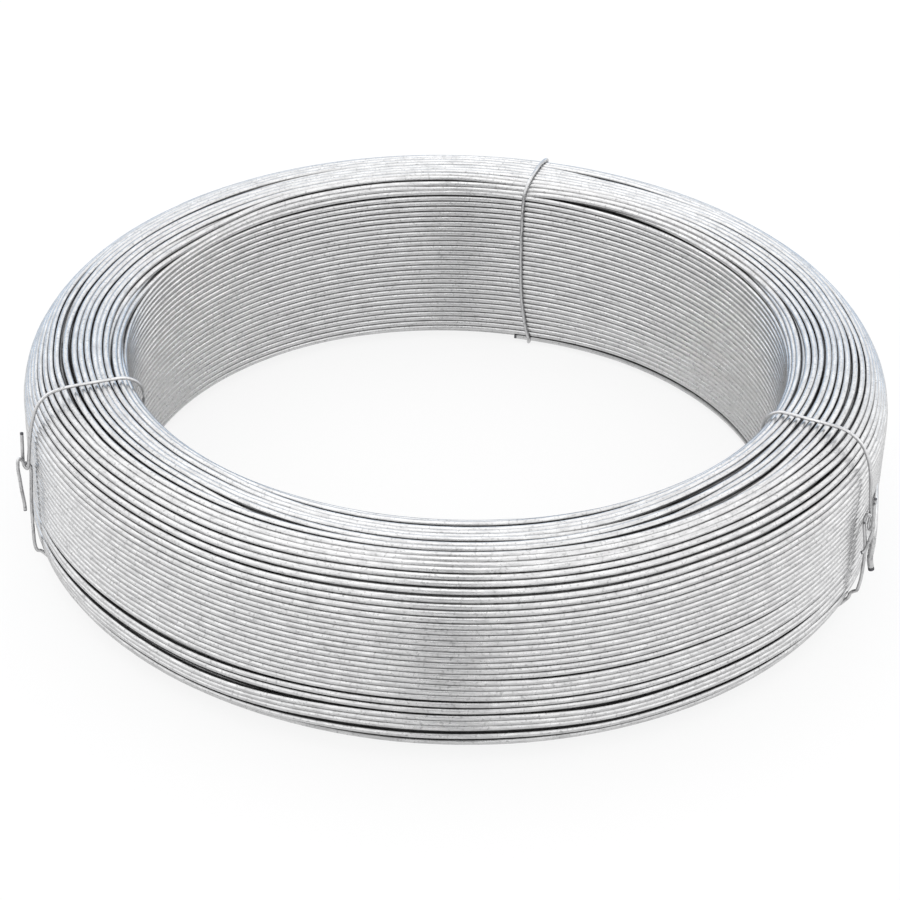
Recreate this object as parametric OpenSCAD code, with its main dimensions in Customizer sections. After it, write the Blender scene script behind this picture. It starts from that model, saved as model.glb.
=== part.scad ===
// A coil of galvanised binding wire: one wire wound into a ring, held by three
// thin tie wires that each go once round the ring's section and hook into themselves.
// Millimetres, +Z up, origin on the coil's axis at the level of the floor.

/* [Coiled wire] */
// Diameter of the coiled wire
wire_d = 1.6; // [1.4:0.1:1.8]
// Extra space between neighbouring turns on the top of the coil
loose_gap = 0.16; // [0:0.02:0.4]

/* [Coil] */
// Outside diameter of the coil, over the turns
coil_od = 224; // [216:1:250]
// Thickness of the winding, from the bore to the outside
wall = 27; // [24:0.5:40]
// Height of the coil, over the turns
coil_h = 52; // [46:1:70]

/* [Corners of the section] */
// Radius of the outer top shoulder
top_outer_r = 14.8; // [8:0.2:16]
// Radius of the inner top edge
top_inner_r = 5.2; // [3:0.2:7]
// Radius of the outer bottom edge
bottom_outer_r = 8.4; // [4:0.2:12]
// Radius of the inner bottom edge
bottom_inner_r = 2; // [1.6:0.2:5]

/* [Tie wires] */
// Diameter of the tie wire
tie_d = 0.9; // [0.7:0.1:1.2]
// Clearance between a tie wire and the turns that it holds
tie_gap = 0.2; // [0.1:0.05:0.3]
// Slack of a tie wire beside the outer face, where it is closed
tie_slack = 0.6; // [0.2:0.1:1.2]
// Direction of the left tie wire, seen from above
left_at = 200.5; // [180:0.5:220]
// Direction of the right tie wire
right_at = 334; // [320:0.5:336]
// Direction of the back tie wire
back_at = 77; // [60:0.5:100]

/* [Hooks of the tie wires] */
// Distance of the closure, where the two hooks pull on each other, below the top shoulder
closure_drop = 6.3; // [3:0.1:8]
// Half of the sideways distance between a tie wire's two ends
hook_side = 0.9; // [0.8:0.1:1.2]
// How far the upper hook stands out from its run
upper_hook_w = 1.8; // [1.6:0.1:2.4]
// How far the lower hook stands out from its run
lower_hook_w = 2.6; // [2:0.1:3.4]
// Clearance between the two hooks where they pass through each other
hook_gap = 0.2; // [0.1:0.05:0.4]
// Length of the upper hook's free end on the left and back tie wires
long_tail_up = 9.5; // [4:0.5:12]
// Length of the lower hook's free end on the left and back tie wires
long_tail_down = 14; // [6:0.5:16]
// Length of the upper hook's free end on the right tie wire
short_tail_up = 5; // [3:0.5:12]
// Length of the lower hook's free end on the right tie wire
short_tail_down = 9; // [4:0.5:16]

/* [Outer end of the coiled wire] */
// Angle between the right tie wire and the hanging end
end_apart = 2; // [2:0.5:12]
// Distance below the closure at which the end leaves the coil
end_below = 2.4; // [0:0.2:5]
// Distance of the hanging end from the coil's axis, beyond the outer turns
end_stand_off = 3; // [2:0.2:4]
// Radius of the end's bend
end_bend_r = 2.5; // [2:0.1:3.5]
// Length of the part that hangs down
end_drop = 14; // [8:1:18]

/* [Hidden] */

WIRE_SIDES = 24;
// The winding's turns are twelve-sided bars with a corner at each crest, which keeps it light
TURN_SIDES = 12;
BEND_SIDES = 48;
RING_SIDES = 180;
wire_r = wire_d / 2;
tie_r = tie_d / 2;
coil_r = coil_od / 2;
bore_r = coil_r - wall;
// The tie wires pass under the coil and carry it
coil_z = tie_d + tie_gap;
coil_top = coil_z + coil_h;

// Centres of the section's four rounded corners, as [distance from the axis, height]
top_outer = [coil_r - top_outer_r, coil_top - top_outer_r];
top_inner = [bore_r + top_inner_r, coil_top - top_inner_r];
bottom_inner = [bore_r + bottom_inner_r, coil_z + bottom_inner_r];
bottom_outer = [coil_r - bottom_outer_r, coil_z + bottom_outer_r];

// Height of the closure, and height and direction of the outer end
closure_z = top_outer.y - closure_drop;
end_z = closure_z - end_below;
end_at = right_at + end_apart;

// Share of the wire's diameter between neighbouring turns that press on each other
PRESSED = 0.98;

// Number of spaces between turns along a length of the section's outline: on the upright
// faces the turns press on each other, and elsewhere each has at least its own width
function pressed_spaces(length) = ceil(length / (wire_d * PRESSED));
function spaces(length, gap = 0) = max(1, floor(length / (wire_d + gap)));
function bend_spaces(r, gap = 0) = spaces((r - wire_r) * PI / 2, gap);

// Points along a straight side, and round a corner that begins in the direction turn
function side(a, b, n) = [for (i = [0 : n - 1]) a + (b - a) * i / n];
function corner(centre, r, turn, n) =
    [for (i = [0 : n - 1]) centre + r * [cos(turn + 90 * i / n), sin(turn + 90 * i / n)]];

// The section's outline, drawn in from the turns' crests: one point for each visible turn
function outline(inset) = concat(
    side([coil_r - inset, bottom_outer.y], [coil_r - inset, top_outer.y],
        pressed_spaces(top_outer.y - bottom_outer.y)),
    corner(top_outer, top_outer_r - inset, 0, bend_spaces(top_outer_r, loose_gap)),
    side([top_outer.x, coil_top - inset], [top_inner.x, coil_top - inset],
        spaces(top_outer.x - top_inner.x, loose_gap)),
    corner(top_inner, top_inner_r - inset, 90, bend_spaces(top_inner_r)),
    side([bore_r + inset, top_inner.y], [bore_r + inset, bottom_inner.y],
        pressed_spaces(top_inner.y - bottom_inner.y)),
    corner(bottom_inner, bottom_inner_r - inset, 180, bend_spaces(bottom_inner_r)),
    side([bottom_inner.x, coil_z + inset], [bottom_outer.x, coil_z + inset],
        spaces(bottom_outer.x - bottom_inner.x)),
    corner(bottom_outer, bottom_outer_r - inset, 270, bend_spaces(bottom_outer_r)));

// Round bar along +Z, from a
module bar(a, length, d) {
    translate(a) cylinder(h = length, d = d, $fn = WIRE_SIDES);
}

// Round bar bent in the XZ plane, from the direction turn through sweep degrees
module bent_bar(centre, r, turn, sweep, d) {
    translate(centre) rotate([90, 0, 0]) rotate([0, 0, turn])
        rotate_extrude(angle = sweep, $fn = BEND_SIDES)
            translate([r, 0]) circle(d = d, $fn = WIRE_SIDES);
}

// The whole winding as one turned solid, with its visible turns all round the section
module winding() {
    middles = outline(wire_r);
    rotate_extrude($fn = RING_SIDES) {
        polygon(middles);
        for (p = middles) translate(p) circle(r = wire_r, $fn = TURN_SIDES);
    }
}

// The wire's outer end: it leaves the outer turns along a straight line, then hangs down
module outer_end() {
    // The end begins well inside the outer turns
    root_r = coil_r - wire_d;
    tip_r = coil_r + end_stand_off;
    // Length of the straight line from the root to where the end hangs
    reach = sqrt(pow(tip_r, 2) - pow(root_r, 2));
    run = reach - end_bend_r;
    rotate([0, 0, end_at + acos(root_r / tip_r)]) translate([root_r, 0, end_z]) {
        rotate([90, 0, 0]) bar([0, 0, 0], run, wire_d);
        translate([0, -run, -end_bend_r]) rotate([0, 0, 90])
            bent_bar([0, 0, 0], end_bend_r, 90, 90, wire_d);
        bar([0, -reach, -end_bend_r - end_drop], end_drop, wire_d);
    }
}

module wire_coil() {
    color("gainsboro") union() {
        winding();
        outer_end();
    }
}

// Distance from the section to the middle of a tie wire
tie_off = tie_gap + tie_r;
tie_in_x = bore_r - tie_off;
tie_out_x = coil_r + tie_off + tie_slack;
tie_mid_z = coil_z + coil_h / 2;
// Angle between the loop's two halves, which puts its ends side by side
tie_splay = atan(hook_side / (tie_out_x - tie_in_x));
upper_hook_r = norm([upper_hook_w, 2 * hook_side]) / 2;
lower_hook_r = norm([lower_hook_w, 2 * hook_side]) / 2;
upper_hook_z = closure_z + upper_hook_r;
lower_hook_z = closure_z + tie_d + hook_gap - lower_hook_r;

// A hook at the end of the outer run, in the direction angle. It crosses to the run's other
// side, opens upwards where up is true, and its free end has the length tail.
module hook(r, z, angle, tail, up) {
    translate([tie_out_x, 0, z]) rotate([0, 0, angle]) {
        bent_bar([r, 0, 0], r, up ? 180 : 0, 180, tie_d);
        bar([2 * r, 0, up ? 0 : -tail], tail, tie_d);
    }
}

// The loop from half-way up the bore, over the top of the coil, to the outer face
module over_the_top() {
    union() {
        bar([tie_in_x, 0, tie_mid_z], top_inner.y - tie_mid_z, tie_d);
        bent_bar([top_inner.x, 0, top_inner.y], top_inner_r + tie_off, 90, 90, tie_d);
        translate([top_inner.x, 0, coil_top + tie_off]) rotate([0, 90, 0])
            bar([0, 0, 0], top_outer.x + tie_slack - top_inner.x, tie_d);
        bent_bar([top_outer.x + tie_slack, 0, top_outer.y], top_outer_r + tie_off, 0, 90, tie_d);
    }
}

// The loop's run down the outer face to its upper hook
module upper_end(tail) {
    union() {
        bar([tie_out_x, 0, upper_hook_z], top_outer.y - upper_hook_z, tie_d);
        hook(upper_hook_r, upper_hook_z, -atan2(2 * hook_side, upper_hook_w) - tie_splay,
            tail, true);
    }
}

// The loop from half-way up the bore, under the coil, to the outer face
module under_the_coil() {
    union() {
        bar([tie_in_x, 0, bottom_inner.y], tie_mid_z - bottom_inner.y, tie_d);
        bent_bar([bottom_inner.x, 0, bottom_inner.y], bottom_inner_r + tie_off, 180, 90, tie_d);
        translate([bottom_inner.x, 0, coil_z - tie_off]) rotate([0, 90, 0])
            bar([0, 0, 0], bottom_outer.x + tie_slack - bottom_inner.x, tie_d);
        bent_bar([bottom_outer.x + tie_slack, 0, bottom_outer.y], bottom_outer_r + tie_off,
            270, 90, tie_d);
    }
}

// The loop's run up the outer face to its lower hook
module lower_end(tail) {
    union() {
        bar([tie_out_x, 0, bottom_outer.y], lower_hook_z - bottom_outer.y, tie_d);
        hook(lower_hook_r, lower_hook_z, atan2(2 * hook_side, lower_hook_w) + tie_splay,
            tail, false);
    }
}

// Turns a half of the loop about its run in the bore
module splay(angle) {
    translate([tie_in_x, 0, 0]) rotate([0, 0, angle]) translate([-tie_in_x, 0, 0])
        union() children();
}

module tie_wire(at, tail_up, tail_down) {
    color("silver") rotate([0, 0, at]) union() {
        splay(tie_splay) {
            over_the_top();
            upper_end(tail_up);
        }
        splay(-tie_splay) {
            under_the_coil();
            lower_end(tail_down);
        }
    }
}

module tie_wire_left() { tie_wire(left_at, long_tail_up, long_tail_down); }
module tie_wire_right() { tie_wire(right_at, short_tail_up, short_tail_down); }
module tie_wire_back() { tie_wire(back_at, long_tail_up, long_tail_down); }

wire_coil();
tie_wire_left();
tie_wire_right();
tie_wire_back();
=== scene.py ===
# %% [markdown]
# # A coil of binding wire
# One long galvanised wire is wound into a ring and held by three thin tie wires, each of which
# goes once round the ring's section and hooks into itself. The solids that this scene dresses
# have one plain turned ring with straight, even turns. This lesson lays the wire again as the
# machine laid it: as one long path that climbs round the section, with tight and loose places.

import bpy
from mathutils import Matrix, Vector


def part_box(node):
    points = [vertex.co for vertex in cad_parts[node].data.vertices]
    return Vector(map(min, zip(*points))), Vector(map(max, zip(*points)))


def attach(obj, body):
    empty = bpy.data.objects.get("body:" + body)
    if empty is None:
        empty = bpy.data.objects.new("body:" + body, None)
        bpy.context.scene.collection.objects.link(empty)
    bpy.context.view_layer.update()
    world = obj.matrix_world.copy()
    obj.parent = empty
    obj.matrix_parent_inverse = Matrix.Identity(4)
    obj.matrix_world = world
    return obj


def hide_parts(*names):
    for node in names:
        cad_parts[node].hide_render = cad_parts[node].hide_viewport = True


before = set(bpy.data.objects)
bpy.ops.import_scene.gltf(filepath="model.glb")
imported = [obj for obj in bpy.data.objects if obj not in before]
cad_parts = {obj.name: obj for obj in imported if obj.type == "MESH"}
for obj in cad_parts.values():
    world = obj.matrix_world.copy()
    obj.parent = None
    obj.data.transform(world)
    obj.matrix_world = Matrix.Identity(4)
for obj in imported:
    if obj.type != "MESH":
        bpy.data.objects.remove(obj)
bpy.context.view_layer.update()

# %% Modules and the unit
import math

import bpy
import numpy as np
from mathutils import Euler, Matrix, Vector

# Blender works in metres. Sizes below are in millimetres, because wire is sold that way.
MM = 0.001


def add_object(name, data):
    """A new object in the scene, made from its data."""
    made = bpy.data.objects.new(name, data)
    bpy.context.scene.collection.objects.link(made)
    return made


# %% [markdown]
# ## The camera
# A long lens, far away, keeps the ring's two halves nearly the same size. The camera stands in
# front of the coil and looks down at it by about a third of a right angle. It isn't quite level
# and doesn't point exactly at the coil's middle. It is set first, so that each piece can be
# looked at as soon as it is made.

# %% Set the camera
CAMERA_DISTANCE = 676.1
CAMERA_ELEVATION = math.radians(31.77)
CAMERA_ROLL = math.radians(1.667)
CAMERA_TILT = math.radians(-0.863)
CAMERA_SWING = math.radians(0.097)
LENS = 102.4
SENSOR = 36.0

coil_low, coil_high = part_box("wire_coil")
target = Vector((0, 0, (coil_low.z + coil_high.z) / 2))
towards_camera = Vector((0, -math.cos(CAMERA_ELEVATION), math.sin(CAMERA_ELEVATION)))

camera_data = bpy.data.cameras.new("camera")
camera_data.lens = LENS
camera_data.sensor_width = SENSOR
camera = add_object("camera", camera_data)
aim = Euler((math.pi / 2 - CAMERA_ELEVATION, 0, 0)).to_matrix()
trim = Matrix.Rotation(CAMERA_SWING, 3, "Y") @ Matrix.Rotation(CAMERA_TILT, 3, "X")
trim = trim @ Matrix.Rotation(CAMERA_ROLL, 3, "Z")
camera.matrix_world = (aim @ trim).to_4x4()
camera.location = target + towards_camera * CAMERA_DISTANCE * MM
bpy.context.scene.camera = camera
print("camera at", [round(v, 3) for v in camera.location])

# %% [markdown]
# ## Sizes of the winding
# The frame gives the ring's outside and its height. The wire's diameter, the wall and the four
# corner radii are the ones of the solids. Turns that press on each other sit a little closer
# than one diameter, because they ride up on the layer below.

# %% Name the sizes
WIRE = 1.6
PITCH = 1.57
WALL = 27.0
TOP_OUTER_R = 14.8
TOP_INNER_R = 5.2
BOTTOM_OUTER_R = 8.4
BOTTOM_INNER_R = 2.0

coil_r = -coil_low.y / MM
bore_r = coil_r - WALL
coil_foot = coil_low.z / MM
coil_top = coil_high.z / MM
print("coil radius", round(coil_r, 2), "bore", round(bore_r, 2))
print("height", round(coil_top - coil_foot, 2))

# %% [markdown]
# ## The section's outline
# A turn lies somewhere on the outline of the ring's section, so the outline is the winding's
# ruler: a place on it is its distance from the foot of the bore wall, up that wall, out over
# the top, down the outside and back in underneath. Only the four rounded corners need points,
# because the straight sides join them by themselves.

# %% Draw the outline
ARC_STEPS = 32
SMALLEST_BEND = 0.1


def section_outline(inset):
    """Points (distance from the axis, height) of the outline, drawn in by inset, in order."""
    corners = (
        (bore_r + TOP_INNER_R, coil_top - TOP_INNER_R, TOP_INNER_R, 180),
        (coil_r - TOP_OUTER_R, coil_top - TOP_OUTER_R, TOP_OUTER_R, 90),
        (coil_r - BOTTOM_OUTER_R, coil_foot + BOTTOM_OUTER_R, BOTTOM_OUTER_R, 0),
        (bore_r + BOTTOM_INNER_R, coil_foot + BOTTOM_INNER_R, BOTTOM_INNER_R, -90),
    )
    points = [(bore_r + inset, coil_foot + BOTTOM_INNER_R)]
    for centre_r, centre_z, radius, first in corners:
        bend = max(radius - inset, SMALLEST_BEND)
        for step in range(ARC_STEPS + 1):
            angle = math.radians(first - 90 * step / ARC_STEPS)
            points.append((centre_r + bend * math.cos(angle), centre_z + bend * math.sin(angle)))
    # The last point is the first one again
    return np.array(points[:-1])


def outline_length(points):
    """Length of the closed outline."""
    return float(np.linalg.norm(np.roll(points, -1, axis=0) - points, axis=1).sum())


def outline_object(name, points):
    """The outline as a closed curve in the XZ plane, for the node tree to measure along."""
    data = bpy.data.curves.new(name, "CURVE")
    data.dimensions = "3D"
    spline = data.splines.new("POLY")
    spline.points.add(len(points) - 1)
    for point, (r, z) in zip(spline.points, points):
        point.co = (r * MM, 0, z * MM, 1)
    spline.use_cyclic_u = True
    return add_object(name, data)


crest_path = section_outline(WIRE / 2)
crest_length = outline_length(crest_path)
crest_curve = outline_object("outline_of_the_turns", crest_path)
print("outline", round(crest_length, 2), "mm, room for", round(crest_length / PITCH, 1), "turns")

# %% [markdown]
# ## Where each turn lies
# Count the turns from the lowest one in the bore, at the wire's inner end. A place on the wire
# is then a number: 12.25 is a quarter of a revolution past the start of turn 12. Each turn
# takes up one pitch of the outline, and its neighbour begins where it ends. Whatever changes a
# turn's width does so smoothly along the wire, so the whole winding stays one unbroken path.

# %% Start an even winding
TURNS = 92
STEPS = 180
START_AT = 78.2
# The inner end lies just below the foot of the bore wall, on the rounded edge
START_DISTANCE = -1.1

direction = START_AT - 360 * np.arange(STEPS) / STEPS
place = np.arange(TURNS)[:, None] + np.arange(STEPS)[None, :] / STEPS


def smooth(x):
    """Rises smoothly from 0 at x = 0 to 1 at x = 1."""
    x = np.clip(x, 0, 1)
    return x * x * (3 - 2 * x)


def stretch(turn, start, end, ramp):
    """1 along a turn between two directions, with ramps at both ends, and 0 elsewhere."""
    first = turn + (START_AT - start) % 360 / 360
    last = first + (start - end) / 360
    ramp = ramp / 360
    return np.minimum(smooth((place - first) / ramp + 0.5), smooth((last - place) / ramp + 0.5))


def among_turns(first, last, ramp):
    """1 between two places on the wire, with a ramp inside each of them, and 0 elsewhere."""
    return smooth((place - first) / ramp) * smooth((last - place) / ramp)


print("winding of", TURNS, "turns with", STEPS, "steps each")

# %% [markdown]
# ## Turns that dive
# A real winding is uneven. A turn can dive: it sinks between its neighbours, which close above
# it, and comes up again further on. No rule says where, so each dive is listed as a
# stretch of one turn, from one direction to another, clockwise as the wire runs.

# %% Let some turns dive
# The turn that dives, the two directions, and how many degrees it takes to sink. For each turn
# that dives at the inner edge another comes up at the shoulder, so the rest stays level.
DIVES = (
    (29, 184, 60, 40),
    (31, 170, 30, 50),
    (33, 158, 5, 40),
    (36, 138, -55, 60),
    (43, 60, -182, 30),
    (45, 30, -188, 30),
    (47, 5, -202, 40),
    (41, -55, -222, 60),
    (30, -114, -424, 34),
    (39, -64, -114, 34),
    (34, -20, -170, 56),
    (71, -26, -184, 36),
    (75, -32, -176, 36),
)
hidden = np.zeros((TURNS, STEPS))
for turn, start, end, ramp in DIVES:
    hidden += stretch(turn, start, end, ramp)

# A diving turn rolls down between its neighbours, so its depth follows from how far they close
EXTRA_DEPTH = 0.3
depth = PITCH * np.sqrt(hidden - hidden ** 2 / 4) + EXTRA_DEPTH * hidden

# The wire's inner end, at the foot of the bore, has sprung a little out of its place
END_DROOP = 0.3
DROOP_DEGREES = 25
depth[0] -= END_DROOP * (1 - smooth(place[0] * 360 / DROOP_DEGREES))

print("dives", len(DIVES), "- deepest turn", round(float(depth.max()), 2), "mm down")

# %% [markdown]
# ## How wide each turn is
# A turn takes up one pitch, less where it is hidden. No machine lays every turn equally tight:
# in front the bore is wound a little looser, and behind the outside is.

# %% Give each turn its width
# The direction in which the bore is loosest, and how much room the slack takes over how many turns
FRONT_AT = -110
SLACK = 0.7
SLACK_TURNS = 24
# The turns in the bore and down the outside, and over how many of them the slack comes and goes
BORE_TURNS = (1, 28)
OUTSIDE_TURNS = (51, 77)
SLACK_RAMP = 3

front = (1 + np.cos(np.radians(direction - FRONT_AT))) / 2
in_the_bore = among_turns(*BORE_TURNS, SLACK_RAMP)
on_the_outside = among_turns(*OUTSIDE_TURNS, SLACK_RAMP)
width = PITCH * (1 - hidden)
width += SLACK / SLACK_TURNS * (front * in_the_bore + (1 - front) * on_the_outside)
apart = np.zeros((TURNS, STEPS))


def lay_turns():
    """Distance along the outline of each point of the winding."""
    taken = width + apart
    start = START_DISTANCE + place[:1] * taken[0, 0]
    edge = np.concatenate([start, start + np.cumsum(taken, axis=0)])
    return edge[:-1]


print("turns end at", round(float(lay_turns()[-1].max()), 2), "of", round(crest_length, 2))

# %% [markdown]
# ## Loose places
# Two neighbouring turns can stand a little apart, which shows as a dark line, while the turns
# beside them press closer. These stretches are listed too. They are opened in the order
# of their distance along the outline, since each one moves the turns that follow it.

# %% Name the loose places
# From direction, to direction, distance along the outline half-way, how far apart
LOOSE_PLACES = (
    (66, -10, 0.6, 0.60),
    (140, 75, 44.1, 0.25),
    (75, 0, 45.7, 0.30),
    (100, 76, 46.6, 0.30),
    (75, -15, 47.5, 0.30),
    (198, 140, 48.3, 0.12),
    (130, 85, 49.0, 0.35),
    (50, -35, 50.1, 0.30),
    (200, 140, 50.2, 0.20),
    (205, 66, 51.6, 0.62),
    (-110, -165, 51.7, 0.30),
    (-58, -120, 52.1, 0.90),
    (45, -40, 52.2, 0.30),
    (-116, -200, 53.6, 0.40),
    (90, 60, 54.6, 0.40),
    (-10, -40, 55.5, 0.25),
    (13, -35, 56.3, 0.30),
    (132, 84, 56.5, 0.50),
    (-104, -175, 57.6, 0.40),
    (-32, -118, 57.8, 0.90),
    (45, 15, 58.1, 0.30),
    (-2, -36, 59.1, 0.30),
    (-115, -165, 59.5, 0.25),
    (122, 48, 59.8, 0.40),
    (203, 160, 60.5, 0.35),
    (-38, -190, 61.7, 0.40),
    (38, 14, 61.8, 0.65),
    (13, -15, 62.6, 0.30),
    (-142, -170, 63.7, 0.30),
    (205, 157, 63.9, 0.40),
    (-35, -88, 64.6, 0.40),
    (3, -32, 64.6, 0.20),
    (-148, -165, 65.4, 0.25),
    (-75, -165, 66.6, 0.28),
    (3, -30, 67.1, 0.20),
    (-30, -112, 67.6, 0.28),
    (-112, -172, 68.3, 0.25),
    (-30, -75, 68.8, 0.24),
    (-8, -40, 69.9, 0.20),
    (198, 178, 70.7, 0.30),
    (-42, -150, 71.1, 0.24),
    (-48, -150, 72.6, 0.24),
    (-12, -52, 73.3, 0.20),
    (-40, -85, 95.3, 0.30),
    (-32, -122, 101.3, 0.45),
    (-118, -180, 102.1, 1.20),
    (-58, -125, 103.2, 0.40),
    (-36, -76, 104.8, 0.80),
    (-70, -120, 104.9, 0.45),
    (-112, -182, 106.1, 1.50),
    (-34, -152, 110.0, 1.10),
    (-46, -116, 112.7, 1.60),
    (-92, -128, 114.6, 1.60),
)
print("loose places", len(LOOSE_PLACES))

# %% Open the loose places
# How many turns on each side press closer, how much of the opening they make up for, and how
# far they may slide a gap to its distance
PRESSED_TURNS = 6
PRESSED_SHARE = 0.55
LARGEST_SLIDE = 0.8
# Share of a stretch over which it opens and closes
RAMP_SHARE = 0.4
# The turns down the outer face lie evenly, so nothing there gives way
EVEN_TURNS = (51, 64)
EVEN_RAMP = 2
gives_way = 1 - among_turns(*EVEN_TURNS, EVEN_RAMP)


def find_gap(start, end, distance):
    """The gap nearest to distance half-way, as the turn before it where the stretch starts."""
    step = round((START_AT - (start + end) / 2) / 360 * STEPS) % STEPS
    climb = lay_turns()[:, step]
    gaps = (climb[:-1] + climb[1:]) / 2
    gaps[width[:-1, step] < PITCH / 2] = math.inf
    turn = int(np.argmin(np.abs(gaps - distance)))
    # The stretch starts in an earlier turn where it reaches back past the first direction
    return turn - int(((START_AT - start) % 360 + (start - end) / 2) // 360), gaps[turn]


def open_place(start, end, distance, how_far):
    """Parts the two turns nearest to distance, and presses the turns on both sides closer."""
    turn, found = find_gap(start, end, distance)
    ramp = (start - end) * RAMP_SHARE
    apart[:] += how_far * stretch(turn, start, end, ramp)
    slide = np.clip(distance - found, -LARGEST_SLIDE, LARGEST_SLIDE)
    for beside in range(PRESSED_TURNS):
        before = (PRESSED_SHARE * how_far / 2 - slide) / PRESSED_TURNS
        after = (PRESSED_SHARE * how_far / 2 + slide) / PRESSED_TURNS
        width[:] -= gives_way * before * stretch(turn - beside, start, end, ramp)
        width[:] -= gives_way * after * stretch(turn + 1 + beside, start, end, ramp)


for start, end, distance, how_far in LOOSE_PLACES:
    open_place(start, end, distance, how_far)
print("narrowest turn that shows", round(float(width[hidden == 0].min()), 2))

# %% Let the turns underneath take up what is left
LAST_TURNS = 14
LAST_RAMP = 2
climb = lay_turns()
room = crest_length + climb[0] - (climb[-1] + width[-1])
share = among_turns(TURNS - LAST_TURNS, TURNS, LAST_RAMP)
width += room * share / share.sum(axis=0)
climb = lay_turns()
print("room left underneath, mm", round(float(room.min()), 2), "to", round(float(room.max()), 2))

# %% Let each turn lie a little deep
# How far a turn may lie below its crest: more over the top, where it is wound loosely
LEAST_PLAY = 0.16
MORE_PLAY = 0.34
TOP_TURNS = (28, 54)
TOP_RAMP = 4
play = LEAST_PLAY + MORE_PLAY * among_turns(*TOP_TURNS, TOP_RAMP)
print("play, mm", round(float(play.min()), 2), "to", round(float(play.max()), 2))

# %% [markdown]
# ## Finishes
# Hot-dip galvanised wire is bright but not polished: the zinc is drawn out along the wire with
# fine scuffs, so its gloss is soft and a little uneven. Each wire carries its own length and
# its place on the wire as attributes, so the streaks run along it however it is bent. The tie
# wire is the same metal, thinner and duller. A freshly cut tip is dark steel.

# %% Helpers for nodes of every kind
def link(tree, start, end):
    """Joins two sockets."""
    tree.links.new(start, end)


def give(tree, socket, value):
    """Sets a socket to a value, or links it where the value is a socket itself."""
    if isinstance(value, bpy.types.NodeSocket):
        link(tree, value, socket)
    else:
        socket.default_value = value


def calculate(tree, operation, *values):
    """The result of a Math node on sockets or numbers."""
    node = tree.nodes.new("ShaderNodeMath")
    node.operation = operation
    for socket, value in zip(node.inputs, values):
        give(tree, socket, value)
    return node.outputs[0]


# %% Helpers for materials
def new_material(name, metallic, roughness):
    """A node material with its Principled shader."""
    material = bpy.data.materials.new(name)
    material.use_nodes = True
    shader = material.node_tree.nodes["Principled BSDF"]
    shader.inputs["Metallic"].default_value = metallic
    shader.inputs["Roughness"].default_value = roughness
    return material, material.node_tree, shader


def noise_texture(tree, coordinates, scale, detail=2.0, crumble=0.5):
    """The value of a noise texture on some coordinates."""
    node = tree.nodes.new("ShaderNodeTexNoise")
    node.inputs["Scale"].default_value = scale
    node.inputs["Detail"].default_value = detail
    node.inputs["Roughness"].default_value = crumble
    link(tree, coordinates, node.inputs["Vector"])
    return node.outputs["Fac"]


def stepped(tree, socket, low, high, share):
    """Rises from 0 to share while the socket's value goes from low to high."""
    node = tree.nodes.new("ShaderNodeMapRange")
    node.inputs["From Min"].default_value = low
    node.inputs["From Max"].default_value = high
    node.inputs["To Max"].default_value = share
    link(tree, socket, node.inputs["Value"])
    return node.outputs["Result"]


def mix_colours(tree, first, second, share):
    """A blend of two colours, each a socket or a plain colour."""
    node = tree.nodes.new("ShaderNodeMix")
    node.data_type = "RGBA"
    link(tree, share, node.inputs["Factor"])
    for name, colour in (("A", first), ("B", second)):
        give(tree, next(s for s in node.inputs if s.name == name and s.type == "RGBA"), colour)
    return next(s for s in node.outputs if s.type == "RGBA")


# %% Name the zinc's marks
# Lengths in millimetres; the other sizes count marks round the wire or in a metre
STREAK_LENGTH = 5.0
STREAKS_AROUND = 5.0
STREAK_DETAIL = 4.0
STREAK_CRUMBLE = 0.65
STREAK_FROM = 0.36
STREAK_TO = 0.66
SCUFF_SCALE = 1500.0
SCUFF_COLOUR = (0.16, 0.16, 0.162, 1)
SCUFF_FROM = 0.56
SCUFF_TO = 0.72
SCUFF_DEPTH = 0.02
SCUFF_RELIEF = 0.3
# Painted shade in the hollows between the turns: its colour, and the hollow values over which it
# comes in
PAINTED_SHADE_COLOUR = (0.05, 0.05, 0.052, 1)
PAINTED_SHADE_FROM = 0.45
PAINTED_SHADE_TO = 1.0
PAINTED_SHADE_SHARE = 0.65
# How much glossier and how much duller than its mean a wire is in places
GLOSSIER = 0.08
DULLER = 0.14
print("streaks", STREAK_LENGTH, "mm long, scuffs about", round(1 / SCUFF_SCALE / MM, 2), "mm wide")


# %% Build the zinc
def read_number(tree, label):
    """The value of one of the wire's own attributes."""
    node = tree.nodes.new("ShaderNodeAttribute")
    node.attribute_name = label
    return node.outputs["Fac"]


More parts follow.
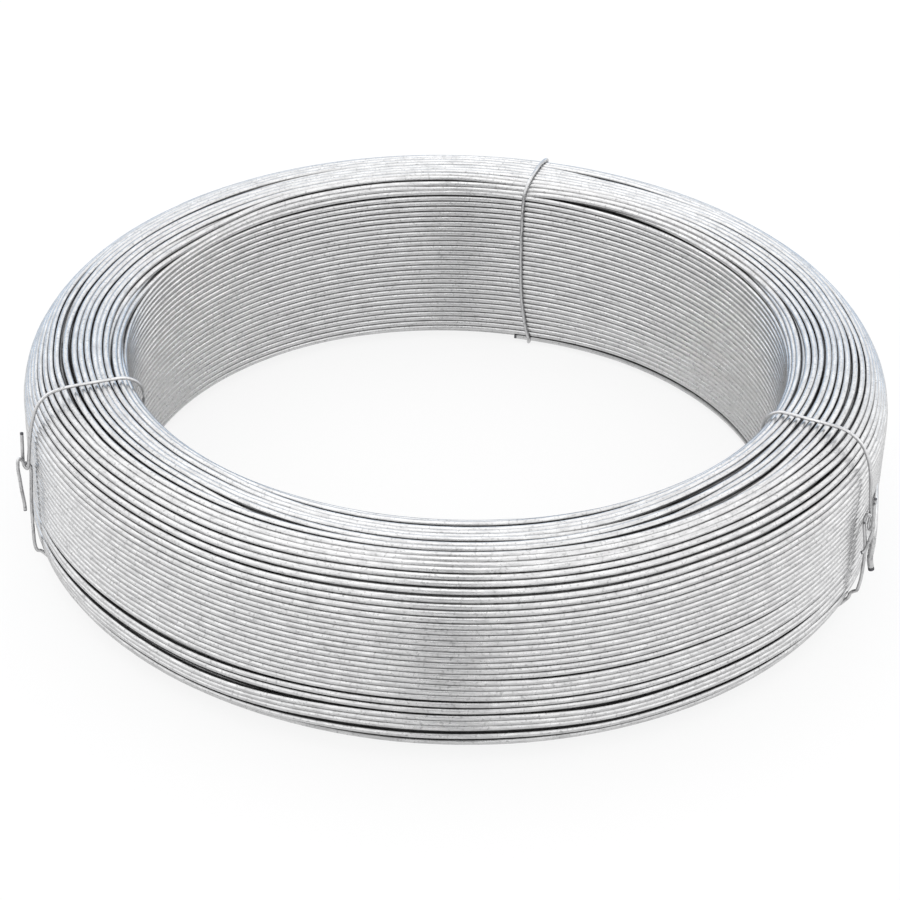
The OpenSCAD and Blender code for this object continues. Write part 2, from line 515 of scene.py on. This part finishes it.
def zinc(name, light, dark, roughness, scuffs):
    """Galvanised wire: streaks along it, fine scuffs, uneven gloss, and painted shade in the
    hollows.
    """
    material, tree, shader = new_material(name, 1.0, roughness)
    nodes = tree.nodes

    # A place on the wire's skin: along it, in units of a streak's length, and round it
    along = calculate(tree, "MULTIPLY", read_number(tree, "along"), 1 / (STREAK_LENGTH * MM))
    around = calculate(tree, "MULTIPLY", read_number(tree, "around"), STREAKS_AROUND)
    skin = nodes.new("ShaderNodeCombineXYZ")
    link(tree, along, skin.inputs["X"])
    link(tree, around, skin.inputs["Y"])
    streak = noise_texture(tree, skin.outputs["Vector"], 1.0, STREAK_DETAIL, STREAK_CRUMBLE)
    tone = mix_colours(tree, light, dark, stepped(tree, streak, STREAK_FROM, STREAK_TO, 1.0))

    # Scuffs: small dull marks all over
    where = nodes.new("ShaderNodeTexCoord")
    scuff = noise_texture(tree, where.outputs["Object"], SCUFF_SCALE)
    scuff_share = stepped(tree, scuff, SCUFF_FROM, SCUFF_TO, scuffs)
    scuffed = mix_colours(tree, tone, SCUFF_COLOUR, scuff_share)

    # Painted shade: the side of each turn that faces into the winding, and each sunken turn, is
    # darkened where its neighbours shade it
    hollow = read_number(tree, "hollow")
    painted_shade_share = stepped(tree, hollow, PAINTED_SHADE_FROM, PAINTED_SHADE_TO, PAINTED_SHADE_SHARE)
    shaded_tone = mix_colours(tree, scuffed, PAINTED_SHADE_COLOUR, painted_shade_share)
    link(tree, shaded_tone, shader.inputs["Base Color"])

    gloss = nodes.new("ShaderNodeMapRange")
    gloss.inputs["To Min"].default_value = roughness - GLOSSIER
    gloss.inputs["To Max"].default_value = roughness + DULLER
    link(tree, streak, gloss.inputs["Value"])
    link(tree, gloss.outputs["Result"], shader.inputs["Roughness"])

    relief = nodes.new("ShaderNodeBump")
    relief.inputs["Strength"].default_value = SCUFF_RELIEF
    relief.inputs["Distance"].default_value = SCUFF_DEPTH * MM
    link(tree, scuff, relief.inputs["Height"])
    link(tree, relief.outputs["Normal"], shader.inputs["Normal"])
    return material


coil_zinc = zinc("galvanised_wire", light=(0.60, 0.60, 0.602, 1), dark=(0.43, 0.43, 0.433, 1),
                 roughness=0.26, scuffs=0.5)
# A dark, dull copy of the zinc for the layer below and the packed inside: painted shade
painted_shade_zinc = zinc("galvanised_wire_inside", light=(0.20, 0.20, 0.202, 1),
                  dark=(0.12, 0.12, 0.122, 1), roughness=0.5, scuffs=0.3)
tie_zinc = zinc("galvanised_tie_wire", light=(0.62, 0.62, 0.625, 1), dark=(0.38, 0.38, 0.385, 1),
                roughness=0.33, scuffs=0.5)
print("zinc", [material.name for material in (coil_zinc, painted_shade_zinc, tie_zinc)])


# %% Build the cut steel
CUT_ROUGHNESS = 0.55
CUT_SCALE = 2500.0
CUT_DARK = (0.03, 0.03, 0.035, 1)
CUT_LIGHT = (0.16, 0.16, 0.17, 1)


def cut_steel(name):
    """The bare steel of a cut tip, dull and speckled by the cutter."""
    material, tree, shader = new_material(name, 1.0, CUT_ROUGHNESS)
    where = tree.nodes.new("ShaderNodeTexCoord")
    marks = noise_texture(tree, where.outputs["Object"], CUT_SCALE)
    tone = tree.nodes.new("ShaderNodeValToRGB")
    tone.color_ramp.elements[0].color = CUT_DARK
    tone.color_ramp.elements[1].color = CUT_LIGHT
    link(tree, marks, tone.inputs["Fac"])
    link(tree, tone.outputs["Color"], shader.inputs["Base Color"])
    return material


tip_steel = cut_steel("cut_steel")
print("steel", tip_steel.name)

# %% [markdown]
# ## A node tree that lays wire on the section
# A winding could be modelled turn by turn, but its shape follows a rule, so a small Geometry
# Nodes tree lays it. It takes a chain of points, each of which knows its distance along the
# outline. The tree finds that place on the outline, sinks it a little by a slow noise, because
# no turn lies exactly on its crest, and swings it round the axis to its own direction. Then it
# gives the chain a round profile.

# %% Helpers for node trees
GEOMETRY = "NodeSocketGeometry"
FLOAT = "NodeSocketFloat"
WHOLE = "NodeSocketInt"
OBJECT = "NodeSocketObject"
MATERIAL = "NodeSocketMaterial"
VECTOR_KIND = "FLOAT_VECTOR"


def new_tree(name, inputs):
    """A geometry node tree with its named inputs, its output and its two end nodes."""
    tree = bpy.data.node_groups.new(name, "GeometryNodeTree")
    tree.is_modifier = True
    tree.interface.new_socket("Geometry", in_out="INPUT", socket_type=GEOMETRY)
    for label, kind in inputs:
        tree.interface.new_socket(label, in_out="INPUT", socket_type=kind)
    tree.interface.new_socket("Geometry", in_out="OUTPUT", socket_type=GEOMETRY)
    return tree, tree.nodes.new("NodeGroupInput"), tree.nodes.new("NodeGroupOutput")


def add_node(tree, kind, **settings):
    """A node; each setting is an input, given as a value or a socket, or one of its properties."""
    node = tree.nodes.new(kind)
    for key, value in settings.items():
        socket = node.inputs.get(key.replace("_", " ").title())
        if socket is None:
            setattr(node, key, value)
        else:
            give(tree, socket, value)
    return node


def vector_math(tree, operation, *values):
    """A Vector Math node on sockets or vectors; its outputs are Vector and Value."""
    node = tree.nodes.new("ShaderNodeVectorMath")
    node.operation = operation
    for socket, value in zip(node.inputs, values):
        give(tree, socket, value)
    return node


def read_attribute(tree, label, kind):
    """The value of a named attribute."""
    return add_node(tree, "GeometryNodeInputNamedAttribute", data_type=kind,
                    name=label).outputs["Attribute"]


def store_attribute(tree, geometry, label, kind, value):
    """Writes a named attribute on the points of a geometry."""
    return add_node(tree, "GeometryNodeStoreNamedAttribute", domain="POINT", data_type=kind,
                    geometry=geometry, name=label, value=value).outputs["Geometry"]


# %% Helpers that give a path its wire
# How much of a turn's depth counts as being turned into the winding
SUNK_SHARE = 0.5


def mark_hollows(tree, wire, radius):
    """Writes how far the surface is turned into the winding: 0 on a crest, 2 on its far side."""
    position = add_node(tree, "GeometryNodeInputPosition").outputs[0]
    offset = vector_math(tree, "SUBTRACT", position, read_attribute(tree, "centre", VECTOR_KIND))
    inwards = vector_math(tree, "DOT_PRODUCT", offset.outputs["Vector"],
                          read_attribute(tree, "inward", VECTOR_KIND))
    sunk = calculate(tree, "MULTIPLY", read_attribute(tree, "depth", "FLOAT"), SUNK_SHARE)
    turned_in = calculate(tree, "ADD", inwards.outputs["Value"], sunk)
    turned_in = calculate(tree, "DIVIDE", turned_in, radius)
    turned_in = calculate(tree, "ADD", turned_in, 1.0)
    # The zinc darkens the wire by this value, as painted shade
    wire = store_attribute(tree, wire, "hollow", "FLOAT", turned_in)
    for label in ("centre", "inward", "distance", "play", "depth"):
        wire = add_node(tree, "GeometryNodeRemoveAttribute", geometry=wire,
                        name=label).outputs["Geometry"]
    return wire


def finish_wire(tree, curve, group_in, group_out, wound):
    """Ends a tree: a round profile along the curve, capped, shaded smooth, with its material."""
    given = group_in.outputs
    length = add_node(tree, "GeometryNodeSplineParameter").outputs["Length"]
    marked = store_attribute(tree, curve, "along", "FLOAT", length)
    upright = add_node(tree, "GeometryNodeSetCurveNormal", mode="Z_UP", curve=marked)
    circle = add_node(tree, "GeometryNodeCurvePrimitiveCircle", mode="RADIUS",
                      resolution=given["Sides"], radius=given["Wire radius"])
    fraction = add_node(tree, "GeometryNodeSplineParameter").outputs["Factor"]
    profile = store_attribute(tree, circle.outputs["Curve"], "around", "FLOAT", fraction)
    swept = add_node(tree, "GeometryNodeCurveToMesh", curve=upright.outputs["Curve"],
                     profile_curve=profile, fill_caps=True)
    wire = swept.outputs["Mesh"]
    if wound:
        wire = mark_hollows(tree, wire, given["Wire radius"])
    smooth_wire = add_node(tree, "GeometryNodeSetShadeSmooth", geometry=wire)
    real = add_node(tree, "GeometryNodeRealizeInstances", geometry=smooth_wire.outputs["Geometry"])
    painted = add_node(tree, "GeometryNodeSetMaterial", geometry=real.outputs["Geometry"],
                       material=given["Material"])
    link(tree, painted.outputs["Geometry"], group_out.inputs["Geometry"])


# %% Build the tree
# How many times the noise rises and falls in one turn
SINKING_WAVES = 2.7


def build_winding_tree():
    """Lays a chain of points round the ring, each at its own distance along the outline."""
    tree, group_in, group_out = new_tree("lay_the_turns", (
        ("Outline", OBJECT),
        ("First step", FLOAT),
        ("Steps in a turn", FLOAT),
        ("Start direction", FLOAT),
        ("Wire radius", FLOAT),
        ("Sides", WHOLE),
        ("Seed", FLOAT),
        ("Material", MATERIAL),
    ))
    given = group_in.outputs

    # Its place on the wire, counted in turns, and its direction from the axis
    index = add_node(tree, "GeometryNodeInputIndex").outputs[0]
    step = calculate(tree, "ADD", index, given["First step"])
    turns = calculate(tree, "DIVIDE", step, given["Steps in a turn"])
    swing = calculate(tree, "MULTIPLY_ADD", turns, -2 * math.pi, given["Start direction"])

    # Its place on the outline, and the way from there into the winding
    outline = add_node(tree, "GeometryNodeObjectInfo", object=given["Outline"])
    ruler = add_node(tree, "GeometryNodeSampleCurve", mode="LENGTH",
                     curves=outline.outputs["Geometry"],
                     length=read_attribute(tree, "distance", "FLOAT"))
    inward = vector_math(tree, "CROSS_PRODUCT", (0, 1, 0), ruler.outputs["Tangent"])

    # How deep it lies: its own depth and a slow noise, as far as its play lets it
    phase = calculate(tree, "MULTIPLY_ADD", turns, SINKING_WAVES, given["Seed"])
    noise = add_node(tree, "ShaderNodeTexNoise", noise_dimensions="1D", w=phase, scale=1.0,
                     detail=1.0)
    depth = calculate(tree, "MULTIPLY_ADD", noise.outputs[0],
                      read_attribute(tree, "play", "FLOAT"), read_attribute(tree, "depth", "FLOAT"))
    sunk = vector_math(tree, "MULTIPLY_ADD", inward.outputs[0], depth, ruler.outputs["Position"])

    # Swing it round the axis
    turned = add_node(tree, "ShaderNodeVectorRotate", rotation_type="Z_AXIS", angle=swing,
                      vector=sunk.outputs[0]).outputs["Vector"]
    inward_there = add_node(tree, "ShaderNodeVectorRotate", rotation_type="Z_AXIS", angle=swing,
                            vector=inward.outputs[0]).outputs["Vector"]
    laid = add_node(tree, "GeometryNodeSetPosition", geometry=given["Geometry"], position=turned)
    centred = store_attribute(tree, laid.outputs["Geometry"], "centre", VECTOR_KIND,
                              add_node(tree, "GeometryNodeInputPosition").outputs[0])
    directed = store_attribute(tree, centred, "inward", VECTOR_KIND, inward_there)
    chain = add_node(tree, "GeometryNodeMeshToCurve", mesh=directed)
    finish_wire(tree, chain.outputs["Curve"], group_in, group_out, wound=True)
    return tree


winding_tree = build_winding_tree()
print("tree", winding_tree.name, len(winding_tree.nodes), "nodes")


# %% Helpers that run a tree and keep its mesh
def chain_object(name, points, **attributes):
    """A mesh of points joined one after another, with what is known of each point."""
    mesh = bpy.data.meshes.new(name)
    edges = [(i, i + 1) for i in range(len(points) - 1)]
    mesh.from_pydata([tuple(point) for point in points], edges, [])
    for label, values in attributes.items():
        mesh.attributes.new(label, "FLOAT", "POINT").data.foreach_set("value", values)
    return add_object(name, mesh)


def run_tree(source, tree, values):
    """Evaluates the tree on source and returns the result as a plain mesh object."""
    modifier = source.modifiers.new(tree.name, "NODES")
    modifier.node_group = tree
    for item in tree.interface.items_tree:
        if item.in_out == "INPUT" and item.name in values:
            modifier[item.identifier] = values[item.name]
    bpy.context.view_layer.update()
    evaluated = source.evaluated_get(bpy.context.evaluated_depsgraph_get())
    mesh = bpy.data.meshes.new_from_object(evaluated)
    name = source.name
    source.modifiers.remove(modifier)
    bpy.data.objects.remove(source)
    mesh.name = name
    return add_object(name, mesh)


def hand_over(piece, node):
    """Rides a finished piece on the one body and hides the node it stands for."""
    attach(piece, "root")
    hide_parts(node)
    piece.data.calc_loop_triangles()
    print(piece.name, len(piece.data.loop_triangles), "triangles")


# %% [markdown]
# ## The turns that show
# The path is cut into four pieces where it passes from one side of the ring to the next. Each
# stays light enough to print or to open in another program. They share the point where they
# meet, so the wire shows no joint.

# %% Lay the turns that show
TURN_SIDES = 12
# Each layer starts its noise at a place of its own
SHOWING_SEED = 0.0


def lay_piece(name, first, last, outline, length, sides, steps, seed, material, **known):
    """One stretch of a winding, from the first turn up to the last."""
    stretch_points = slice(int(first * steps), int(last * steps) + 1)
    attributes = {label: values.ravel()[stretch_points] * MM for label, values in known.items()}
    attributes["distance"] = attributes["distance"] % (length * MM)
    count = len(attributes["distance"])
    return run_tree(chain_object(name, np.zeros((count, 3)), **attributes), winding_tree, {
        "Outline": outline,
        "First step": float(first * steps),
        "Steps in a turn": float(steps),
        "Start direction": math.radians(START_AT),
        "Wire radius": WIRE / 2 * MM,
        "Sides": sides,
        "Seed": seed,
        "Material": material,
    })


# The wire's path ends underneath, a quarter of a turn before the inner end
LAST_PLACE = TURNS - 0.25

SIDES_OF_THE_RING = (
    ("turns_in_the_bore", 0, 30),
    ("turns_over_the_top", 30, 54),
    ("turns_down_the_outside", 54, 74),
    ("turns_underneath", 74, LAST_PLACE),
)
for name, first, last in SIDES_OF_THE_RING:
    piece = lay_piece(name, first, last, crest_curve, crest_length, TURN_SIDES, STEPS,
                      SHOWING_SEED, coil_zinc, distance=climb, depth=depth, play=play)
    hand_over(piece, "wire_coil")
    if first == 0:
        # The faces with more than four corners close the ends; the lowest one is the inner end
        closed = [face.center.copy() for face in piece.data.polygons if len(face.vertices) > 4]
        inner_end = min(closed, key=lambda centre: centre.z) / MM
print("inner end at", [round(v, 1) for v in inner_end])

# %% [markdown]
# ## The layer below
# Through a loose place the next layer shows, and below it everything is dark. The layer below
# is laid by the same tree on an outline one layer further in, with fewer sides to each turn.
# Its metal is painted dark and dull: painted shade, since the layer below lies in the shade of the
# turns above.

# %% Lay the layer below
# A layer sinks into the hollows of the next one, so it lies less than a wire's diameter deeper
LAYER_DEPTH = 1.38
BELOW_PITCH = 1.63
BELOW_STEPS = 120
BELOW_SIDES = 8
BELOW_PLAY = 0.2
BELOW_SEED = 31.0

below_path = section_outline(WIRE / 2 + LAYER_DEPTH)
below_curve = outline_object("outline_of_the_layer_below", below_path)
below_length = outline_length(below_path)
below_turns = int(below_length / BELOW_PITCH) - 1
below_climb = np.arange(below_turns * BELOW_STEPS + 1) / BELOW_STEPS * BELOW_PITCH
below_depth = np.zeros_like(below_climb)
below_play = np.full_like(below_climb, BELOW_PLAY)
half = below_turns // 2
for name, first, last in (("layer_below_inner", 0, half), ("layer_below_outer", half, below_turns)):
    piece = lay_piece(name, first, last, below_curve, below_length, BELOW_SIDES, BELOW_STEPS,
                      BELOW_SEED, painted_shade_zinc, distance=below_climb, depth=below_depth,
                      play=below_play)
    hand_over(piece, "wire_coil")

for curve in (crest_curve, below_curve):
    bpy.data.objects.remove(curve)

# %% [markdown]
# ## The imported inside
# The rest of the winding is one plain ring, which no one sees. It only stops the light, so it
# needs few points: a quarter of the outline's, turned round the axis.

# %% Turn the core
CORE_DEPTH = 2.6
CORE_STEPS = 96
CORE_THINNING = 4


def turned_ring(name, outline, steps):
    """A closed ring, turned round the axis from an outline that runs clockwise."""
    vertices = []
    faces = []
    count = len(outline)
    for step in range(steps):
        angle = 2 * math.pi * step / steps
        for r, z in outline:
            vertices.append((r * MM * math.cos(angle), r * MM * math.sin(angle), z * MM))
        following = (step + 1) % steps
        for i in range(count):
            j = (i + 1) % count
            faces.append((step * count + i, step * count + j, following * count + j,
                          following * count + i))
    mesh = bpy.data.meshes.new(name)
    mesh.from_pydata(vertices, [], faces)
    mesh.shade_smooth()
    return add_object(name, mesh)


core = turned_ring("packed_inside", section_outline(CORE_DEPTH)[::CORE_THINNING], CORE_STEPS)
# Its dark zinc is painted shade, since the inside lies in the shade of the turns
core.data.materials.append(painted_shade_zinc)
hand_over(core, "wire_coil")

# %% [markdown]
# ## The tie wires
# Each tie wire is bent by hand: its two ends meet outside, turn back through each other as
# hooks and are left as they were cut. No rule gives such a shape, so each route is a list of
# given points, as (distance from the coil's axis, sideways, height), and a second
# small tree draws a smooth wire through them. Sideways is along the turns, anticlockwise.

# %% Build the tree for bent wire
def build_bent_wire_tree():
    """A smooth wire through a chain of points."""
    tree, group_in, group_out = new_tree("bend_the_wire", (
        ("Wire radius", FLOAT),
        ("Sides", WHOLE),
        ("Pieces between points", WHOLE),
        ("Material", MATERIAL),
    ))
    chain = add_node(tree, "GeometryNodeMeshToCurve", mesh=group_in.outputs["Geometry"])
    supple = add_node(tree, "GeometryNodeCurveSplineType", spline_type="CATMULL_ROM",
                      curve=chain.outputs["Curve"])
    fine = add_node(tree, "GeometryNodeSetSplineResolution", geometry=supple.outputs["Curve"],
                    resolution=group_in.outputs["Pieces between points"])
    finish_wire(tree, fine.outputs["Geometry"], group_in, group_out, wound=False)
    return tree


bent_wire_tree = build_bent_wire_tree()
print("tree", bent_wire_tree.name, len(bent_wire_tree.nodes), "nodes")

# %% A helper that bends a wire
PIECES_BETWEEN = 6


def bend_wire(name, route, at, wire_d, sides, material, tip):
    """A wire along a route that is given in the upright plane in the direction at, in degrees."""
    turn = Matrix.Rotation(math.radians(at), 3, "Z")
    points = [turn @ Vector(point) * MM for point in route]
    made = run_tree(chain_object(name, points), bent_wire_tree, {
        "Wire radius": wire_d / 2 * MM,
        "Sides": sides,
        "Pieces between points": PIECES_BETWEEN,
        "Material": material,
    })
    # Where the wire was cut the zinc is gone, so the last bit of each end is bare steel
    made.data.materials.append(tip_steel)
    bare = (wire_d / 2 + tip) * MM
    for face in made.data.polygons:
        if min((face.center - end).length for end in (points[0], points[-1])) < bare:
            face.material_index = 1
        # The ends are the only faces with more than four corners
        if len(face.vertices) > 4:
            face.use_smooth = False
    along = [mark.value for mark in made.data.attributes["along"].data]
    print(name, "is", round(max(along) / MM), "mm long")
    return made


# %% Route the way through the bore
TIE = 0.9
TIE_SIDES = 12
TIE_TIP = 0.1
# Distance of the wire's middle from the crests of the turns, and from the coil's underside
TIE_OFF = 0.65
TIE_UNDER = 0.63


def through_the_bore(over_edge, bow, slack):
    """Over the inner edge, down the bore and out underneath.

    Over_edge and bow are the wire's places sideways, over the edge and down the bore. Slack is
    how far it stands off at the bore's upper edge."""
    inner = bore_r - TIE_OFF
    under = coil_foot - TIE_UNDER
    heights = (coil_top - TOP_INNER_R, 38, 27, 16, 7, coil_foot + BOTTOM_INNER_R)
    over = [
        (bore_r + 5.5, over_edge[0], coil_top + TIE_OFF - 0.10),
        (bore_r + 3.1 - slack / 2, over_edge[1], coil_top + 0.25),
        (bore_r + 0.7 - slack, over_edge[2], coil_top - 1.6),
    ]
    down = [(inner, side, height) for side, height in zip(bow, heights)]
    down[0] = (inner - slack, bow[0], heights[0])
    out = [
        (bore_r + 0.3, bow[5], coil_foot - 0.15),
        (bore_r + 2.2, bow[5], under + 0.03),
        (bore_r + 5.0, bow[5], under),
        (bore_r + 12.0, bow[5], under),
        (coil_r - BOTTOM_OUTER_R - 0.6, bow[5], under),
        (coil_r - BOTTOM_OUTER_R + 2.0, bow[5], under + 0.2),
        (coil_r - BOTTOM_OUTER_R + 5.0, bow[5], under + 1.4),
    ]
    return over + down + out


# %% Route the runs outside
# Directions of the tie wires, in degrees
LEFT_AT = -159.5
RIGHT_AT = -26.0
BACK_AT = 77.0

left_upper = [
    (114.4, -0.9, 41.5), (114.5, -0.9, 37.9), (114.6, -0.9, 33.8), (114.5, -0.7, 32.1),
    (113.9, 0.0, 31.4), (113.6, 0.7, 32.8), (113.4, 0.9, 35.1), (113.0, 0.9, 38.7),
    (112.6, 0.9, 41.6), (111.8, 0.9, 45.6), (110.7, 0.9, 48.9), (109.3, 0.8, 51.0),
    (106.9, 0.8, 52.7), (102.6, 0.7, 53.5), (96.0, 0.6, 53.64),
]
left_lower = [
    (111.5, -0.5, 5.3), (112.8, -0.6, 6.0), (113.3, -0.7, 7.9), (113.4, -0.8, 11.4),
    (113.4, -0.8, 15.2), (113.3, -0.9, 20.9), (113.0, -0.9, 26.5), (112.8, -0.9, 30.2),
    (113.0, -0.8, 31.8), (113.9, -0.4, 32.7), (114.6, 0.0, 33.3), (115.2, 0.3, 34.4),
    (115.7, 0.6, 34.9), (116.2, 0.9, 34.5), (116.3, 0.9, 32.0), (116.1, 0.9, 29.7),
    (115.8, 0.9, 25.9), (115.4, 0.9, 22.0), (115.3, 0.9, 19.7),
]
right_upper = [
    (115.5, -0.9, 37.4), (115.5, -0.9, 35.0), (115.7, -0.8, 32.0), (115.6, -0.4, 29.1),
    (114.9, 0.1, 27.5), (114.4, 0.5, 28.5), (114.4, 0.8, 31.2), (113.9, 0.8, 35.5),
    (113.3, 0.8, 41.0), (112.3, 0.8, 46.0), (109.8, 0.8, 50.6), (105.8, 0.8, 53.1),
    (101.0, 0.7, 53.6), (95.0, 0.6, 53.62),
]
right_lower = [
    (111.6, -0.4, 5.6), (112.2, -0.4, 7.4), (113.0, -0.4, 8.3), (113.8, -0.4, 8.9),
    (114.1, -0.3, 10.2), (114.4, -0.2, 12.8), (114.5, -0.1, 17.0), (114.4, 0.0, 21.6),
    (113.9, 0.0, 25.3), (113.4, 0.0, 28.2), (113.4, 0.0, 30.5), (113.9, 0.0, 31.7),
    (114.8, 0.0, 31.2), (115.7, 0.0, 29.3), (115.6, 0.0, 26.7), (115.1, 0.0, 24.0),
    (114.6, -0.3, 21.8), (114.2, -0.8, 21.0), (113.8, -1.0, 20.7),
]
# The back closure is like the left one but lies closer to the turns, and its run hugs the
# shoulder and leans to one side
BACK_REACH = 115.8
SAME_POINTS = 7
back_upper = [(min(r, BACK_REACH), side, z) for r, side, z in left_upper[:SAME_POINTS]] + [
    (112.7, 0.8, 38.5), (112.1, 0.6, 42.0), (110.5, 0.2, 46.1), (107.2, -0.7, 49.9),
    (102.5, -1.25, 52.7), (98.5, -0.8, 53.55), (94.5, -0.4, 53.62),
]
back_lower = [(min(r, BACK_REACH), side, z) for r, side, z in left_lower]
runs = (left_upper, left_lower, right_upper, right_lower, back_upper, back_lower)
print("points in the runs outside", [len(run) for run in runs])

# %% Bend the tie wires
# Name, direction, the two runs outside, sideways over the edge, sideways down the bore, slack
TIES = (
    ("tie_wire_left", LEFT_AT, left_upper, left_lower,
     (0.5, 0.5, 0.5), (0.5, 0.4, 0.1, -0.2, -0.4, -0.5), 0.9),
    ("tie_wire_right", RIGHT_AT, right_upper, right_lower,
     (0.5, 0.5, 0.5), (0.5, 0.4, 0.1, -0.2, -0.4, -0.4), 0.0),
    ("tie_wire_back", BACK_AT, back_upper, back_lower,
     (-0.1, 0.1, 0.75), (1.3, 1.45, 1.25, 0.65, -0.85, -1.9), 0.0),
)
for node, at, upper, lower, over_edge, bow, slack in TIES:
    route = upper + through_the_bore(over_edge, bow, slack) + lower
    tie = bend_wire("bent_" + node, route, at, TIE, TIE_SIDES, tie_zinc, TIE_TIP)
    hand_over(tie, node)

# %% [markdown]
# ## The wire's two ends
# The inner end is a cut at the foot of the bore, beside the back tie wire. Its last bit is bare
# steel, and the same tree draws it as a short straight wire. At the outer end the last turn
# leaves the ring just before the right tie wire and hangs down beside it, where it was cut.

# %% Add the inner end's bare tip
INNER_TIP = 0.7
# It starts a little off the wire's end, so that no two faces lie in one place
INNER_TIP_START = 0.02
end_r = math.hypot(inner_end.x, inner_end.y)
inner_route = [(end_r, INNER_TIP_START, inner_end.z), (end_r, INNER_TIP, inner_end.z)]
inner_tip = bend_wire("inner_end", inner_route, START_AT, WIRE, TURN_SIDES, tip_steel, INNER_TIP)
hand_over(inner_tip, "wire_coil")

# %% Bend the outer end
# Its direction in degrees, and the length of its bare tip
END_AT = -24.0
END_TIP = 0.5
end_route = [
    (106.0, 31.0, 27.0), (108.5, 22.3, 27.0), (110.9, 14.0, 27.0), (113.2, 6.0, 26.9),
    (114.5, 1.6, 26.2), (115.0, 0.1, 24.3), (115.1, 0.0, 20.5), (114.9, 0.1, 16.4),
    (115.6, 0.3, 12.9),
]
outer_end = bend_wire("outer_end", end_route, END_AT, WIRE, TURN_SIDES, coil_zinc, END_TIP)
hand_over(outer_end, "wire_coil")

# %% [markdown]
# ## The stage
# Zinc is a mirror that is a little dull, so what stands round it matters more than the lamps.
# The floor and the room are white and give off a soft light of their own. One weak lamp hangs
# above. A bluish panel stands low behind the coil and shows in the turns at its two sides, and a
# dark card before the coil makes a darker band in the front turns.

# %% Helpers for the stage
DULL = 0.9
NO_LIGHT = 0.0
WHITE = (1, 1, 1, 1)


def stage_paint(name, colour, glow, strength):
    """A dull paint that may give off light of its own."""
    paint, _, shader = new_material(name, 0.0, DULL)
    shader.inputs["Base Color"].default_value = colour
    shader.inputs["Emission Color"].default_value = glow
    shader.inputs["Emission Strength"].default_value = strength
    return paint


def stage_sheet(name, corners, paint):
    """A flat sheet from its four corners, in metres."""
    mesh = bpy.data.meshes.new(name)
    mesh.from_pydata(corners, [], [(0, 1, 2, 3)])
    mesh.materials.append(paint)
    sheet = add_object(name, mesh)
    print(name, "from", corners[0], "to", corners[2])


def upright_corners(left, right, away, foot, top):
    """The corners of a sheet that stands across the view."""
    return [(left, away, foot), (right, away, foot), (right, away, top), (left, away, top)]


# %% Lay the floor
FLOOR_HALF = 3.0
FLOOR_COLOUR = (0.08, 0.08, 0.08, 1)
FLOOR_GLOW = 0.85

floor_corners = [(-FLOOR_HALF, -FLOOR_HALF, 0), (FLOOR_HALF, -FLOOR_HALF, 0),
                 (FLOOR_HALF, FLOOR_HALF, 0), (-FLOOR_HALF, FLOOR_HALF, 0)]
stage_sheet("floor", floor_corners, stage_paint("white_floor", FLOOR_COLOUR, WHITE, FLOOR_GLOW))

# %% Light the room
ROOM_STRENGTH = 1.7
LAMP_PLACE = (-0.6, 0.3, 2.5)
LAMP_SIZE = 2.5
LAMP_POWER = 8

world = bpy.data.worlds.new("room")
world.use_nodes = True
world.node_tree.nodes["Background"].inputs["Color"].default_value = WHITE
world.node_tree.nodes["Background"].inputs["Strength"].default_value = ROOM_STRENGTH
bpy.context.scene.world = world
bpy.context.scene.view_settings.view_transform = "Standard"

lamp_data = bpy.data.lights.new("lamp_above", "AREA")
lamp_data.shape = "SQUARE"
lamp_data.size = LAMP_SIZE
lamp_data.energy = LAMP_POWER
lamp = add_object("lamp_above", lamp_data)
lamp.location = LAMP_PLACE
lamp.rotation_euler = (-Vector(LAMP_PLACE)).to_track_quat("-Z", "Y").to_euler()
print("lamp at", LAMP_PLACE, "metres")

# %% Stand the panel and the card
PANEL = upright_corners(left=-3.4, right=1.9, away=2.3, foot=0.02, top=0.95)
CARD = upright_corners(left=-0.12, right=0.12, away=-0.9, foot=0.1, top=1.2)
BLACK = (0, 0, 0, 1)
PALE_BLUE = (0.56, 0.75, 1, 1)
PANEL_GLOW = 1.2
CARD_COLOUR = (0.16, 0.16, 0.16, 1)

stage_sheet("panel_behind", PANEL, stage_paint("blue_light", BLACK, PALE_BLUE, PANEL_GLOW))
stage_sheet("dark_card", CARD, stage_paint("dark_card_paint", CARD_COLOUR, WHITE, NO_LIGHT))
